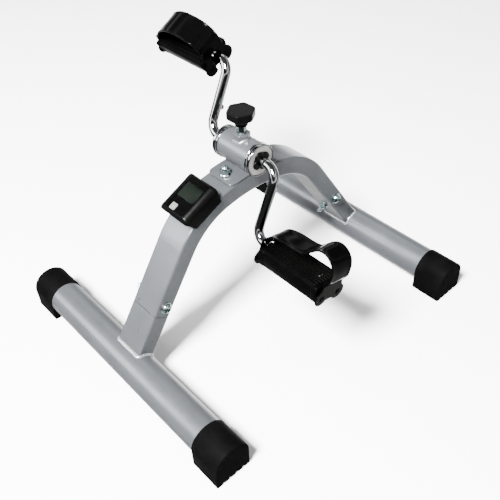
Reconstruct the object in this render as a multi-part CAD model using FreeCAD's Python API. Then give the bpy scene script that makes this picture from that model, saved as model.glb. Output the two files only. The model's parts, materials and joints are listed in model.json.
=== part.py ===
import FreeCAD, Part
import math
import os

V = FreeCAD.Vector
X, Y, Z = V(1, 0, 0), V(0, 1, 0), V(0, 0, 1)
O = V(0, 0, 0)

# Millimetres. +Z up, the user sits on the -Y side, +X is the user's right hand.
# Origin: floor point under the middle of the machine.

# floor tubes and their end caps
base_length = 400.0
base_spacing = 414.0
base_radius = 23.5
base_wall = 1.5
base_axis_z = 28.7
cap_length = 44.4
cap_half_width = 25.0
cap_end_wall = 4.0
cap_groove_count = 4
cap_groove_width = 3.6
cap_groove_depth = 3.0
cap_ring_radius = 17.0
cap_ring_half_width = 0.6
cap_ring_depth = 0.8
cap_edge = 1.6

# arch: rectangular tube bent in the Y-Z plane
arch_width = 45.0
arch_depth = 24.5
arch_wall = 1.8
arch_corner = 3.0
arch_top_z = 230.5
arch_top_radius = 230.0
arch_shoulder_radius = 118.0
leg_slope = 56.0
front_joint_at = 79.0
rear_joint_inner_at = 82.0
rear_joint_outer_at = 56.0
joint_gap = 0.8
sleeve_from, sleeve_to = 46.0, 124.0
leg_bolt_at = 93.0
lock_bolt_at = 72.5
weld = 2.6

# screws: bolt radius, hole radius, and the radius cut through a nut
m8, m8_hole, m8_nut = 4.0, 4.2, 4.05
m6, m6_hole, m6_nut = 3.0, 3.2, 3.05
leg_flange_radius, leg_flange_height = 8.0, 1.6
leg_dome_radius, leg_dome_height = 6.6, 5.2
leg_key = 4.6
leg_nut_flats, leg_nut_height = 12.6, 5.6
small_head_flats, small_head_height = 10.0, 4.2
small_nut_flats, small_nut_height = 10.0, 5.2
plate_nut_flats, plate_nut_height = 11.0, 5.6
thread_end = 11.0

# hub on top of the arch
hub_axis_z = 252.3
hub_radius = 19.3
hub_bore = 16.3
hub_half_length = 27.5
plate_thickness = 2.5
plate_half_length = 40.0
plate_corner = 8.0
plate_bolt_y = 29.0
ring_radius = 20.6
ring_out = 32.7
disc_bore = 8.66
boss_flats = 19.0
boss_top_z = 277.0
ring_in = 25.0
ring_bore = 19.25
ring_edge = 0.9
disc_radius = 19.2
disc_width = 4.2
bush_lobe_radius, bush_lobe_at = 6.2, 7.0
bush_nose_radius = 8.4
hub_weld_from, hub_weld_to = 3.2, 11.0

# crank
crank_radius = 88.0
crank_lean = 25.0
crank_plane = 61.0
bar_radius = 6.0
bend_hub = 18.0
bend_pedal = 16.0
spindle_end = 168.0
core_radius = 9.8
core_half_length = 26.0
stud_radius = 3.6
stud_at = 32.0
stud_lift = 2.6
bar_fit = 0.02
bar_start = 6.0

# tension knob, screw and brake shoe
screw_radius = 3.9
screw_tip_z = 264.5
knob_top_z = 308.0
knob_corner_radius = 18.3
knob_side = 8.5
neck_radius = 8.0
neck_bottom_z = 287.5
knob_taper = 6.0
knob_corner_round = 3.0
collar_flats = 10.6
shoe_radius = 5.0
shoe_bottom_z = 262.4
shoe_top_z = 264.2

# pedals, in their own frame: x outwards from the machine's middle, y to the toe, z up
pedal_in, pedal_out = 88.0, 180.0
pedal_half_width = 23.0
pedal_foot_half_width = 19.5
pedal_top, pedal_bottom = 7.0, -14.5
tread_ribs = 9
rib_height = 1.6
peg_y, peg_z, peg_size = 13.5, -9.0, 5.2
strap_half_width = 16.5
strap_thickness = 2.0
lobe_radius = 10.0
notch_radius = 7.6
web_drop = 5.2
pedal_pitch_margin = 4.0
spindle_clearance = 0.06
clip_radius, clip_width = 7.6, 1.6
peg_length = 4.6
pocket_half, pocket_at, pocket_top = 4.5, 13.0, 2.0
right_tilt = -12.0
left_tilt = 30.0
# strap height above the spindle against distance from the machine's middle
slack_strap = [(85, 2), (85.6, 11), (90, 19), (99, 26), (115, 29.5), (134, 30), (148, 32), (157, 40),
               (166, 47), (176, 48.5), (186, 43), (191, 32), (190, 18), (184, 7), (183, 2)]
round_strap = [(85, 2), (84.6, 12), (84, 22), (89, 33), (101, 39.5), (120, 42), (137, 40), (153, 33.5),
               (167, 24), (176, 14), (181.6, 8), (183, 2)]

# cycle computer on the front shoulder of the arch
display_y, display_z = -88.5, 230.7
display_tilt = 25.0
display_half_width = 25.0
display_low, display_high = -26.0, 27.0
window_low, window_high = -5.0, 15.0
window_half = 14.5
button_x, button_s, button_size = -4.8, -19.3, 8.6
button_gap = 0.35
button_rim = 1.6
display_wall = 2.0

# half size of the blocks that cut across the frame, well past its width
across = 60.0
reach = 400.0

parts = {}


def cyl(radius, start, length, axis):
    return Part.makeCylinder(radius, length, start, axis)


def block(x0, x1, y0, y1, z0, z1):
    return Part.makeBox(x1 - x0, y1 - y0, z1 - z0, V(x0, y0, z0))


def prism(points, direction):
    return Part.Face(Part.makePolygon(points + [points[0]])).extrude(direction)


def hexagon(across_flats, centre, axis, length, turn=0.0):
    corner = across_flats / math.sqrt(3)
    points = []
    for k in range(6):
        a = math.radians(60 * k + turn)
        points.append(V(corner * math.cos(a), corner * math.sin(a), 0))
    shape = prism(points, V(0, 0, length))
    shape.Placement = FreeCAD.Placement(centre, FreeCAD.Rotation(Z, axis))
    return shape


def dome(radius, height, centre, axis):
    ball_radius = (radius ** 2 + height ** 2) / (2 * height)
    ball = Part.makeSphere(ball_radius, centre + axis * (height - ball_radius))
    return ball.common(cyl(radius, centre, height + 1, axis))


def mirrored_x(shape):
    return shape.mirror(O, X)


def one_solid(shape):
    shape = shape.removeSplitter()
    return shape.Solids[0] if len(shape.Solids) == 1 else shape


# ---------------------------------------------------------------- arch path

foot = V(0, -base_spacing / 2, base_axis_z)
slope = math.radians(leg_slope)
leg_dir = V(0, math.cos(slope), math.sin(slope))
leg_out = V(0, -math.sin(slope), math.cos(slope))
half = arch_depth / 2
top_mid = arch_top_radius - half
shoulder_mid = arch_shoulder_radius - half
top_centre_z = arch_top_z - arch_top_radius
arm = top_mid - shoulder_mid
# angle where the top arc meets the shoulder arc: the leg's line then runs through the
# floor tube's axis
drop = (foot.y * math.sin(slope) + (top_centre_z - foot.z) * math.cos(slope))
level = -(shoulder_mid + drop) / arm
blend_angle = slope - math.acos(level)
shoulder_centre = V(0, -arm * math.sin(blend_angle), top_centre_z + arm * math.cos(blend_angle))
leg_length = (shoulder_centre + leg_out * shoulder_mid - foot).dot(leg_dir)


def leg_point(along, out=0.0):
    return foot + leg_dir * along + leg_out * out


def arc(centre, radius, a0, a1):
    points = []
    for a in (a0, (a0 + a1) / 2, a1):
        points.append(centre + V(0, -radius * math.sin(a), radius * math.cos(a)))
    return Part.Arc(*points).toShape()


def other_end(point):
    return V(point.x, -point.y, point.z)


def arch_side(out):
    """Edges of one long side of the arch from the front foot to the rear foot."""
    low = leg_point(0, out)
    bend = leg_point(leg_length, out)
    top_centre = V(0, 0, top_centre_z)
    rear_centre = other_end(shoulder_centre)
    return [
        Part.makeLine(low, bend),
        arc(shoulder_centre, shoulder_mid + out, slope, blend_angle),
        arc(top_centre, top_mid + out, blend_angle, -blend_angle),
        arc(rear_centre, shoulder_mid + out, -blend_angle, -slope),
        Part.makeLine(other_end(bend), other_end(low)),
    ]


def arch_bar(inset):
    edges = arch_side(half - inset)
    outer, inner = leg_point(0, half - inset), leg_point(0, inset - half)
    edges += [Part.makeLine(other_end(outer), other_end(inner))]
    edges += arch_side(inset - half)
    edges += [Part.makeLine(outer, inner)]
    face = Part.Face(Part.Wire(Part.__sortEdges__(edges)))
    width = arch_width - 2 * inset
    face.translate(V(-width / 2, 0, 0))
    return face.extrude(V(width, 0, 0))


def long_edges(shape):
    edges = []
    for edge in shape.Edges:
        box = edge.BoundBox
        if box.XLength < 1e-6 and edge.Length > arch_depth + 2:
            edges.append(edge)
    return edges


whole_bar = arch_bar(0.0)
whole_bar = whole_bar.makeFillet(arch_corner, long_edges(whole_bar))
whole_tube = whole_bar.cut(arch_bar(arch_wall))

def below_cut(inner_at, outer_at, rear, shift):
    """Everything on the foot side of a joint plane across one leg."""
    a = leg_point(inner_at + shift, -half)
    b = leg_point(outer_at + shift, half)
    along = (b - a).normalize()
    a = a - along * across
    b = b + along * across
    points = [a, b, b - leg_dir * reach, a - leg_dir * reach]
    if rear:
        points = [other_end(p) for p in points]
    points = [p - X * across for p in points]
    return prism(points, X * 2 * across)


def in_front():
    return block(-across, across, -reach, 0, -reach, reach)


def in_rear():
    return block(-across, across, 0, reach, -reach, reach)


def floor_rod(y, radius):
    return cyl(radius, V(-base_length / 2, y, base_axis_z), base_length, X)


def leg_hole(rear, radius, at):
    point = leg_point(at)
    if rear:
        point = other_end(point)
    return cyl(radius, point - X * across, 2 * across, X)


def lock_hole(radius):
    start = other_end(leg_point(lock_bolt_at, -across))
    return cyl(radius, start, 2 * across, V(0, -leg_out.y, leg_out.z))


holes = leg_hole(False, m8_hole, leg_bolt_at)
holes = holes.fuse(leg_hole(True, m8_hole, leg_bolt_at)).fuse(lock_hole(m6_hole))

front_cut = below_cut(front_joint_at, front_joint_at, False, joint_gap / 2).common(in_front())
rear_cut = below_cut(rear_joint_inner_at, rear_joint_outer_at, True, joint_gap / 2).common(in_rear())
plate_holes = cyl(m6_hole, V(0, -plate_bolt_y, arch_top_z - across / 2), across, Z)
plate_holes = plate_holes.fuse(cyl(m6_hole, V(0, plate_bolt_y, arch_top_z - across / 2), across, Z))
parts["arch_tube"] = one_solid(whole_tube.cut(front_cut).cut(rear_cut).cut(holes).cut(plate_holes))


def stub(rear):
    shift = -joint_gap / 2
    keep_below = below_cut(front_joint_at, front_joint_at, False, shift).common(in_front())
    if rear:
        keep_below = below_cut(rear_joint_inner_at, rear_joint_outer_at, True, shift)
        keep_below = keep_below.common(in_rear())
    y = base_spacing / 2 if rear else -base_spacing / 2
    piece = whole_tube.common(keep_below).cut(floor_rod(y, base_radius)).cut(holes)
    solids = [s for s in piece.Solids if s.CenterOfMass.z > base_axis_z + base_radius * 0.6]
    return solids[0]


def leg_slab(along0, along1, inset, rear):
    """Rectangular bar along one leg, inset from the tube's outside."""
    o = half - inset
    points = [leg_point(along0, -o), leg_point(along0, o), leg_point(along1, o), leg_point(along1, -o)]
    if rear:
        points = [other_end(p) for p in points]
    w = arch_width / 2 - inset
    points = [p - X * w for p in points]
    return prism(points, X * (2 * w))


def foot_weld(rear):
    y = base_spacing / 2 if rear else -base_spacing / 2
    shell = floor_rod(y, base_radius + weld).cut(floor_rod(y, base_radius))
    outline = leg_slab(5, 60, -weld, rear)
    inside = leg_slab(4, 61, -0.01, rear)
    ring = shell.common(outline).cut(inside)
    return max(ring.Solids, key=lambda s: s.Volume)


def sleeve(rear):
    outer = leg_slab(sleeve_from, sleeve_to, arch_wall + 0.2, rear)
    inner = leg_slab(sleeve_from - 1, sleeve_to + 1, arch_wall + 2.2, rear)
    return outer.cut(inner).cut(holes)


for name, rear in (("front", False), ("rear", True)):
    y = base_spacing / 2 if rear else -base_spacing / 2
    rod_half = base_length / 2 - cap_end_wall
    rod = cyl(base_radius, V(-rod_half, y, base_axis_z), 2 * rod_half, X)
    parts[name + "_base_tube"] = rod.cut(floor_rod(y, base_radius - base_wall))
    parts[name + "_leg_stub"] = stub(rear)
    parts[name + "_leg_weld"] = foot_weld(rear)
    parts[name + "_joint_sleeve"] = sleeve(rear)


# ---------------------------------------------------------------- end caps

def end_cap(y):
    """Right-hand cap: round over the tube, straight sides, ribbed flat sole."""
    x0 = base_length / 2 - cap_length
    w = cap_half_width
    body = cyl(w, V(x0, y, base_axis_z), cap_length, X)
    body = body.fuse(block(x0, base_length / 2, y - w, y + w, 0, base_axis_z)).removeSplitter()
    outer_edges = []
    for edge in body.Edges:
        box = edge.BoundBox
        if box.XMin > base_length / 2 - 0.01 and box.ZMax > 1:
            outer_edges.append(edge)
    body = body.makeFillet(cap_edge, outer_edges)
    body = body.cut(cyl(base_radius, V(x0 - 1, y, base_axis_z), cap_length - cap_end_wall + 1, X))
    pitch = 2 * w / (cap_groove_count + 1)
    for k in range(cap_groove_count):
        gy = y - w + pitch * (k + 1)
        g0, g1 = gy - cap_groove_width / 2, gy + cap_groove_width / 2
        body = body.cut(block(x0 - 1, base_length / 2 + 1, g0, g1, -1, cap_groove_depth))
    ring_start = V(base_length / 2 - cap_ring_depth, y, base_axis_z)
    ring = cyl(cap_ring_radius + cap_ring_half_width, ring_start, 2, X)
    ring = ring.cut(cyl(cap_ring_radius - cap_ring_half_width, ring_start, 2, X))
    return one_solid(body.cut(ring))


for name, y in (("front", -base_spacing / 2), ("rear", base_spacing / 2)):
    parts[name + "_right_end_cap"] = end_cap(y)
    parts[name + "_left_end_cap"] = mirrored_x(end_cap(y))


# ---------------------------------------------------------------- bolts through the legs

for name, rear in (("front", False), ("rear", True)):
    p = leg_point(leg_bolt_at)
    if rear:
        p = other_end(p)
    side = arch_width / 2
    head = V(side, p.y, p.z)
    bolt = cyl(leg_flange_radius, head, leg_flange_height, X)
    bolt = bolt.fuse(dome(leg_dome_radius, leg_dome_height, head + X * leg_flange_height, X))
    bolt = bolt.cut(hexagon(leg_key, head + X * (leg_flange_height + 2), X, leg_dome_height, 15))
    shank = cyl(m8, V(-side - thread_end, p.y, p.z), 2 * side + thread_end + 0.5, X)
    parts[name + "_leg_bolt"] = bolt.fuse(shank).removeSplitter()
    nut_face = V(-side, p.y, p.z)
    nut = cyl(leg_flange_radius, nut_face, leg_flange_height, -X)
    nut = nut.fuse(hexagon(leg_nut_flats, nut_face - X * leg_flange_height, -X, leg_nut_height, 10))
    parts[name + "_leg_nut"] = nut.cut(cyl(m8_nut, nut_face + X, thread_end + 1, -X)).removeSplitter()

inner_face = other_end(leg_point(lock_bolt_at, -half))
outer_face = other_end(leg_point(lock_bolt_at, half))
inward = (inner_face - outer_face).normalize()
lock_bolt = hexagon(small_head_flats, outer_face, -inward, small_head_height)
lock_bolt = lock_bolt.fuse(cyl(m6, outer_face - inward, arch_depth + thread_end + 3.5, inward))
parts["rear_lock_bolt"] = lock_bolt.removeSplitter()
lock_nut = cyl(small_nut_flats * 0.7, inner_face, leg_flange_height, inward)
nut_seat = inner_face + inward * leg_flange_height
lock_nut = lock_nut.fuse(hexagon(small_nut_flats, nut_seat, inward, small_nut_height))
lock_nut = lock_nut.cut(cyl(m6_nut, inner_face - inward, thread_end + 1, inward))
parts["rear_lock_nut"] = lock_nut.removeSplitter()


# ---------------------------------------------------------------- hub on its plate

crown_start = V(-across, 0, top_centre_z)
plate_crown = cyl(arch_top_radius + plate_thickness, crown_start, 2 * across, X)
plate_shell = plate_crown.cut(cyl(arch_top_radius, crown_start, 2 * across, X))
plate_outline = block(-arch_width / 2, arch_width / 2, -plate_half_length, plate_half_length,
                      arch_top_z - across / 2, arch_top_z + across / 2)
corners = [e for e in plate_outline.Edges if e.BoundBox.ZLength > across / 2]
plate_outline = plate_outline.makeFillet(plate_corner, corners)
parts["hub_plate"] = plate_shell.common(plate_outline).cut(plate_holes)

hub_axis = V(0, 0, hub_axis_z)
hub = cyl(hub_radius, hub_axis - X * hub_half_length, 2 * hub_half_length, X)
screw_hole = cyl(screw_radius + 0.3, V(0, 0, hub_axis_z), across, Z)
hub_hollow = cyl(hub_bore, hub_axis - X * across, 2 * across, X)
hub_tube = hub.cut(hub_hollow).cut(screw_hole).cut(plate_crown)
parts["hub_tube"] = one_solid(hub_tube)

for name, side in (("front", -1), ("rear", 1)):
    y0, y1 = sorted((side * hub_weld_from, side * hub_weld_to))
    x1 = arch_width / 2 - 2
    wedge = block(-x1, x1, y0, y1, arch_top_z, arch_top_z + plate_thickness + 3.0)
    parts["hub_weld_" + name] = wedge.cut(hub).cut(plate_crown).Solids[0]

for name, side in (("front", -1), ("rear", 1)):
    y = side * plate_bolt_y
    top = math.sqrt((arch_top_radius + plate_thickness) ** 2 - y ** 2) + top_centre_z
    seat = V(0, y, top + 0.95)
    under = math.sqrt((arch_top_radius - arch_depth) ** 2 - y ** 2) + top_centre_z
    shank = cyl(m6, V(0, y, under - 1), seat.z - under + plate_nut_height + 2, Z)
    head = hexagon(small_head_flats, V(0, y, under - small_head_height - 0.9), Z, small_head_height)
    parts["plate_bolt_" + name] = head.fuse(shank).removeSplitter()
    nut = cyl(plate_nut_flats * 0.65, seat, leg_flange_height, Z)
    nut = nut.fuse(hexagon(plate_nut_flats, seat + Z * leg_flange_height, Z, plate_nut_height, 8))
    nut = nut.fuse(dome(5.0, 4.6, seat + Z * (leg_flange_height + plate_nut_height), Z))
    nut = nut.cut(cyl(m6_nut, seat - Z, plate_nut_height + 3.4, Z))
    parts["plate_nut_" + name] = nut.removeSplitter()

boss = hexagon(boss_flats, V(0, 0, hub_axis_z), Z, boss_top_z - hub_axis_z, 30)
boss = boss.cut(hub).cut(hub_hollow).cut(screw_hole)
parts["tension_boss"] = max(boss.Solids, key=lambda s: s.Volume)


def hub_ring():
    ring = cyl(ring_radius, hub_axis + X * ring_in, ring_out - ring_in, X)
    rims = [e for e in ring.Edges if e.BoundBox.XLength < 1e-6]
    ring = ring.makeFillet(ring_edge, rims)
    ring = ring.cut(cyl(hub_radius + 0.03, hub_axis, hub_half_length + 0.05, X))
    return ring.cut(cyl(ring_bore, hub_axis, across, X))


def bearing_disc():
    disc = cyl(disc_radius, hub_axis + X * (hub_half_length + 0.2), disc_width, X)
    return disc.cut(cyl(disc_bore, hub_axis, across, X))


def crank_bush():
    """Black collar that turns in the bearing disc, with lobes around the bar."""
    bush = cyl(disc_bore - 0.06, hub_axis + X * (core_half_length + 0.1), 5.9, X)
    for k in range(4):
        a = math.radians(90 * k + crank_lean)
        lobe = hub_axis + V(32.25, -bush_lobe_at * math.sin(a), -bush_lobe_at * math.cos(a))
        bush = bush.fuse(cyl(bush_lobe_radius, lobe, 2.0, X))
    bush = bush.fuse(cyl(bush_nose_radius, hub_axis + X * 31.9, 2.35, X))
    return one_solid(bush.cut(cyl(bar_radius + bar_fit, hub_axis, across, X)))


parts["hub_ring_right"] = hub_ring()
parts["hub_ring_left"] = mirrored_x(hub_ring())
parts["bearing_disc_right"] = bearing_disc()
parts["bearing_disc_left"] = mirrored_x(bearing_disc())
parts["crank_bush_right"] = crank_bush()
parts["crank_bush_left"] = mirrored_x(crank_bush())


# ---------------------------------------------------------------- crank

lean = math.radians(crank_lean)
arm_down = V(0, -math.sin(lean), -math.cos(lean))


def crank_bar(direction):
    """Round bar bent out of the hub, along the arm and out again as the pedal spindle."""
    q = math.sqrt(0.5)
    start = hub_axis + X * bar_start
    p1 = hub_axis + X * (crank_plane - bend_hub)
    m1 = p1 + X * (bend_hub * q) + direction * (bend_hub * (1 - q))
    p2 = hub_axis + X * crank_plane + direction * bend_hub
    p3 = hub_axis + X * crank_plane + direction * (crank_radius - bend_pedal)
    m2 = p3 + X * (bend_pedal * (1 - q)) + direction * (bend_pedal * q)
    p4 = hub_axis + X * (crank_plane + bend_pedal) + direction * crank_radius
    end = hub_axis + X * spindle_end + direction * crank_radius
    path = Part.Wire([
        Part.makeLine(start, p1),
        Part.Arc(p1, m1, p2).toShape(),
        Part.makeLine(p2, p3),
        Part.Arc(p3, m2, p4).toShape(),
        Part.makeLine(p4, end),
    ])
    ring = Part.Wire([Part.Circle(start, X, bar_radius).toShape()])
    return path.makePipeShell([ring], True, False)


right_spindle = hub_axis + arm_down * crank_radius
left_spindle = hub_axis - arm_down * crank_radius
parts["crank_bar_right"] = crank_bar(arm_down)
parts["crank_bar_left"] = mirrored_x(crank_bar(-arm_down))
core = cyl(core_radius, hub_axis - X * core_half_length, 2 * core_half_length, X)
bar_hole = cyl(bar_radius + bar_fit, hub_axis + X * (bar_start - 0.1), across, X)
parts["axle_core"] = core.cut(bar_hole).cut(mirrored_x(bar_hole))

toe = V(0, math.cos(lean), -math.sin(lean))
stud_seat = hub_axis - arm_down * stud_at - X * crank_plane + toe * (bar_radius - 0.6)
stud_ball = Part.makeSphere(stud_radius, stud_seat + toe * stud_lift)
stud = cyl(stud_radius * 0.6, stud_seat, 2.2, toe).fuse(stud_ball)
left_arm = cyl(bar_radius, hub_axis - X * crank_plane, crank_radius, -arm_down)
parts["arm_stud"] = one_solid(stud.cut(left_arm))


# ---------------------------------------------------------------- tension knob, screw and shoe

screw = cyl(screw_radius, V(0, 0, screw_tip_z), neck_bottom_z + 8 - screw_tip_z, Z)
collar = hexagon(collar_flats, V(0, 0, boss_top_z + 1.2), Z, neck_bottom_z - boss_top_z - 1.25)
parts["tension_screw"] = screw.fuse(collar).removeSplitter()

rim_top = hexagon(knob_corner_radius * math.sqrt(3), V(0, 0, knob_top_z - knob_side), Z, knob_side, 4)
knob_corners = [e for e in rim_top.Edges if e.BoundBox.ZLength > knob_side - 1]
rim_top = rim_top.makeFillet(knob_corner_round, knob_corners)
taper_z = knob_top_z - knob_side - knob_taper
taper = Part.makeCone(neck_radius, knob_corner_radius - 2.5, knob_taper, V(0, 0, taper_z), Z)
neck = cyl(neck_radius, V(0, 0, neck_bottom_z), taper_z - neck_bottom_z, Z)
knob = rim_top.fuse(taper).fuse(neck).removeSplitter()
screw_socket = cyl(screw_radius, V(0, 0, screw_tip_z), neck_bottom_z + 8 - screw_tip_z, Z)
parts["tension_knob"] = one_solid(knob.cut(screw_socket))
parts["brake_shoe"] = cyl(shoe_radius, V(0, 0, shoe_bottom_z), shoe_top_z - shoe_bottom_z, Z)


# ---------------------------------------------------------------- pedals

def pedal_body():
    w, foot = pedal_half_width, pedal_foot_half_width
    half_outline = [(foot - 0.6, pedal_bottom), (foot, pedal_bottom + 0.6),
                    (w, pedal_top - 3.5), (w - 2.5, pedal_top)]
    outline = [V(pedal_in, y, z) for y, z in half_outline]
    outline += [V(pedal_in, -y, z) for y, z in reversed(half_outline)]
    body = prism(outline, X * (pedal_out - pedal_in))
    pitch = 2 * (w - pedal_pitch_margin) / (tread_ribs - 1)
    for k in range(tread_ribs):
        y = -w + pedal_pitch_margin + pitch * k
        rib = block(pedal_in + 4, pedal_out - 4, y - 1.1, y + 1.1,
                    pedal_top - 1, pedal_top + rib_height)
        body = body.fuse(rib)
    for side in (-1, 1):
        for x0, x1 in ((pedal_in - peg_length, pedal_in), (pedal_out, pedal_out + peg_length)):
            peg = block(x0, x1, side * peg_y - peg_size / 2, side * peg_y + peg_size / 2,
                        peg_z - peg_size / 2, peg_z + peg_size / 2)
            body = body.fuse(peg)
        pocket_y = side * pocket_at
        pocket = block(pedal_in + 8, pedal_out - 8, pocket_y - pocket_half, pocket_y + pocket_half,
                       pedal_bottom - 1, pocket_top)
        body = body.cut(pocket)
    bore_start = V(pedal_in - 10, 0, 0)
    body = body.cut(cyl(bar_radius + spindle_clearance, bore_start, spindle_end - bore_start.x, X))
    clip_room = cyl(clip_radius + 1.4, V(spindle_end - 5, 0, 0), 7, X)
    return one_solid(body.cut(clip_room))


def band(profile):
    """Strap seen from the side, with even thickness, before its ends are shaped."""
    spine = Part.BSplineCurve()
    spine.interpolate([V(x, 0, z) for x, z in profile])
    inner, outer = [], []
    count = 40
    for k in range(count + 1):
        u = spine.FirstParameter + (spine.LastParameter - spine.FirstParameter) * k / count
        p = spine.value(u)
        t = spine.tangent(u)[0]
        normal = V(-t.z, 0, t.x)
        outer.append(p + normal * (strap_thickness / 2))
        inner.append(p - normal * (strap_thickness / 2))
    top, bottom = Part.BSplineCurve(), Part.BSplineCurve()
    top.interpolate(outer)
    bottom.interpolate(inner)
    edges = [top.toShape(), Part.makeLine(outer[-1], inner[-1])]
    edges += [bottom.toShape(), Part.makeLine(inner[0], outer[0])]
    face = Part.Face(Part.Wire(Part.__sortEdges__(edges)))
    face.translate(V(0, -strap_half_width, 0))
    return face.extrude(V(0, 2 * strap_half_width, 0))


def end_plate(x0, x1, foot_high, notched):
    plate = block(x0, x1, -strap_half_width, strap_half_width, -3, foot_high)
    for side in (-1, 1):
        plate = plate.fuse(cyl(lobe_radius, V(x0, side * peg_y, peg_z), x1 - x0, X))
    if notched:
        plate = plate.cut(cyl(notch_radius, V(x0 - 1, 0, 0), x1 - x0 + 2, X))
        plate = plate.cut(block(x0 - 1, x1 + 1, -notch_radius, notch_radius, -20, 0))
    else:
        plate = plate.fuse(block(x0, x1, -peg_y, peg_y, peg_z - web_drop, 0))
    slack = peg_size / 2 + 0.3
    for side in (-1, 1):
        y = side * peg_y
        plate = plate.cut(block(x0 - 1, x1 + 1, y - slack, y + slack, peg_z - slack, peg_z + slack))
    return plate


def strap(profile):
    body = band(profile)
    reach_in = block(60, 90, -notch_radius, notch_radius, -20, 0.1)
    body = body.cut(reach_in)
    thick = strap_thickness / 2
    x_in, x_out = profile[0][0], profile[-1][0]
    body = body.fuse(end_plate(x_in - thick, x_in + thick, 2.2, True))
    body = body.fuse(end_plate(x_out - thick, x_out + thick, 2.2, False))
    body = body.cut(cyl(notch_radius, V(60, 0, 0), 40, X))
    return one_solid(body)


def place_pedal(shape, spindle, tilt, left):
    if left:
        shape = mirrored_x(shape)
    shape.rotate(O, X, tilt)
    shape.translate(V(0, spindle.y, spindle.z))
    return shape


def spindle_clip(spindle, left):
    clip = cyl(clip_radius, V(spindle_end - 2 * clip_width, 0, 0), clip_width, X)
    clip = clip.cut(cyl(bar_radius + bar_fit, O, reach, X))
    if left:
        clip = mirrored_x(clip)
    clip.translate(V(0, spindle.y, spindle.z))
    return clip


for side, spindle, tilt, profile in (
    ("right", right_spindle, right_tilt, slack_strap),
    ("left", left_spindle, left_tilt, round_strap),
):
    left = side == "left"
    parts[side + "_pedal_body"] = place_pedal(pedal_body(), spindle, tilt, left)
    parts[side + "_pedal_strap"] = place_pedal(strap(profile), spindle, tilt, left)
    parts[side + "_spindle_clip"] = spindle_clip(spindle, left)


# ---------------------------------------------------------------- cycle computer

display_turn = FreeCAD.Rotation(X, display_tilt)
display_frame = FreeCAD.Placement(V(0, display_y, display_z), display_turn)


def on_display(shape):
    """Local frame: x across, y up the slope, z out of the face; the face is at z = 0."""
    shape.Placement = display_frame.multiply(shape.Placement)
    return shape


def rounded_block(x0, x1, y0, y1, z0, z1, r):
    shape = block(x0, x1, y0, y1, z0, z1)
    return shape.makeFillet(r, [e for e in shape.Edges if e.BoundBox.ZLength > z1 - z0 - 1e-6])


def housing_solid(inset):
    w = display_half_width - inset
    flank = [(w - 8, -inset), (w - 4.2, -1.2), (w - 1.6, -3.4), (w, -7), (w, -24)]
    if inset:
        flank = [(w - 5, -inset), (w, -8), (w, -24)]
    section = [V(-x, 0, z) for x, z in reversed(flank)] + [V(x, 0, z) for x, z in flank]
    across = prism([p - Y * 40 for p in section], Y * 80)
    side = [V(-40, display_low + inset, -inset), V(-40, display_high - 2, -inset),
            V(-40, display_high - inset, -3), V(-40, display_high - inset - 3, -24),
            V(-40, display_low + 4 + inset, -24), V(-40, display_low - 3.4 + inset, -6.3)]
    return across.common(prism(side, X * 80))


shell = housing_solid(0.0).cut(housing_solid(display_wall))


def around_window(margin, low, high, r):
    x1 = window_half + margin
    return rounded_block(-x1, x1, window_low - margin, window_high + margin, low, high, r)


half_button = button_size / 2


def around_button(margin, low, high, r):
    side = half_button + margin
    x0, x1 = button_x - side, button_x + side
    return rounded_block(x0, x1, button_s - side, button_s + side, low, high, r)


window = around_window(0.0, -6, 1, 1.2)
recess = around_window(1.4, -0.9, 1, 2.0)
button_pocket = around_button(button_rim, -1.3, 1, 1.2)
button_hole = around_button(button_gap, -6, 1, 0.9)
shell = shell.cut(window).cut(recess).cut(button_pocket).cut(button_hole)
keep_out = arch_bar(-0.15)
display_housing = on_display(shell).cut(keep_out)
parts["display_housing"] = max(display_housing.Solids, key=lambda s: s.Volume)
parts["display_lens"] = on_display(around_window(1.3, -0.85, -0.05, 1.9))
panel_half = window_half + 0.5
panel = block(-panel_half, panel_half, window_low - 0.5, window_high + 0.5, -4.0, -2.3)
parts["lcd_panel"] = on_display(panel)
board = block(-19, 19, -22.6, 21, -6.8, -5.4)
parts["display_board"] = on_display(board)
cell = cyl(5.8, V(10, -14, -12.3), 5.4, Z)
parts["button_cell"] = on_display(cell)
parts["display_button"] = on_display(around_button(0.0, -3.6, 0.6, 0.8))

base_slab = housing_solid(display_wall + 0.15).common(block(-40, 40, -40, 40, -24, -14.5))
display_base = on_display(base_slab).cut(keep_out)
parts["display_base"] = max(display_base.Solids, key=lambda s: s.Volume)


# ---------------------------------------------------------------- write

os.makedirs("parts", exist_ok=True)
for name in sorted(parts):
    shape = parts[name]
    shape.exportStep("parts/" + name + ".step")
    box = shape.BoundBox
    low = [round(v, 1) for v in (box.XMin, box.YMin, box.ZMin)]
    high = [round(v, 1) for v in (box.XMax, box.YMax, box.ZMax)]
    print(name, shape.isValid(), len(shape.Solids), round(shape.Volume), low, high)
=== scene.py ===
import json
import math

import bmesh
import bpy
from mathutils import Matrix, Vector, noise


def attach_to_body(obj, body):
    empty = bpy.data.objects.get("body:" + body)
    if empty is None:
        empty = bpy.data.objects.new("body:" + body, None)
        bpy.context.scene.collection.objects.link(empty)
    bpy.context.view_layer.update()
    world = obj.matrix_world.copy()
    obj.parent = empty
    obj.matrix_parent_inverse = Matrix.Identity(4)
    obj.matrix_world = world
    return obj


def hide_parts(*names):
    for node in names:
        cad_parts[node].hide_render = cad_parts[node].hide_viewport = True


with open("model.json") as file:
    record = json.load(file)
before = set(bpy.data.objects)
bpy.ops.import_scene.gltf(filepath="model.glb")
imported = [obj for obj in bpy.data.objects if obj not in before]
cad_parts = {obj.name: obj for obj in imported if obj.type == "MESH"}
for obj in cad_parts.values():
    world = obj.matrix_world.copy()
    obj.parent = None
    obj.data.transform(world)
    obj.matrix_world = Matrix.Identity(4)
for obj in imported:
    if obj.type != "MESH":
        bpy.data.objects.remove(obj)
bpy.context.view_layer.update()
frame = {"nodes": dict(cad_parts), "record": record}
nodes = frame["nodes"]
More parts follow.
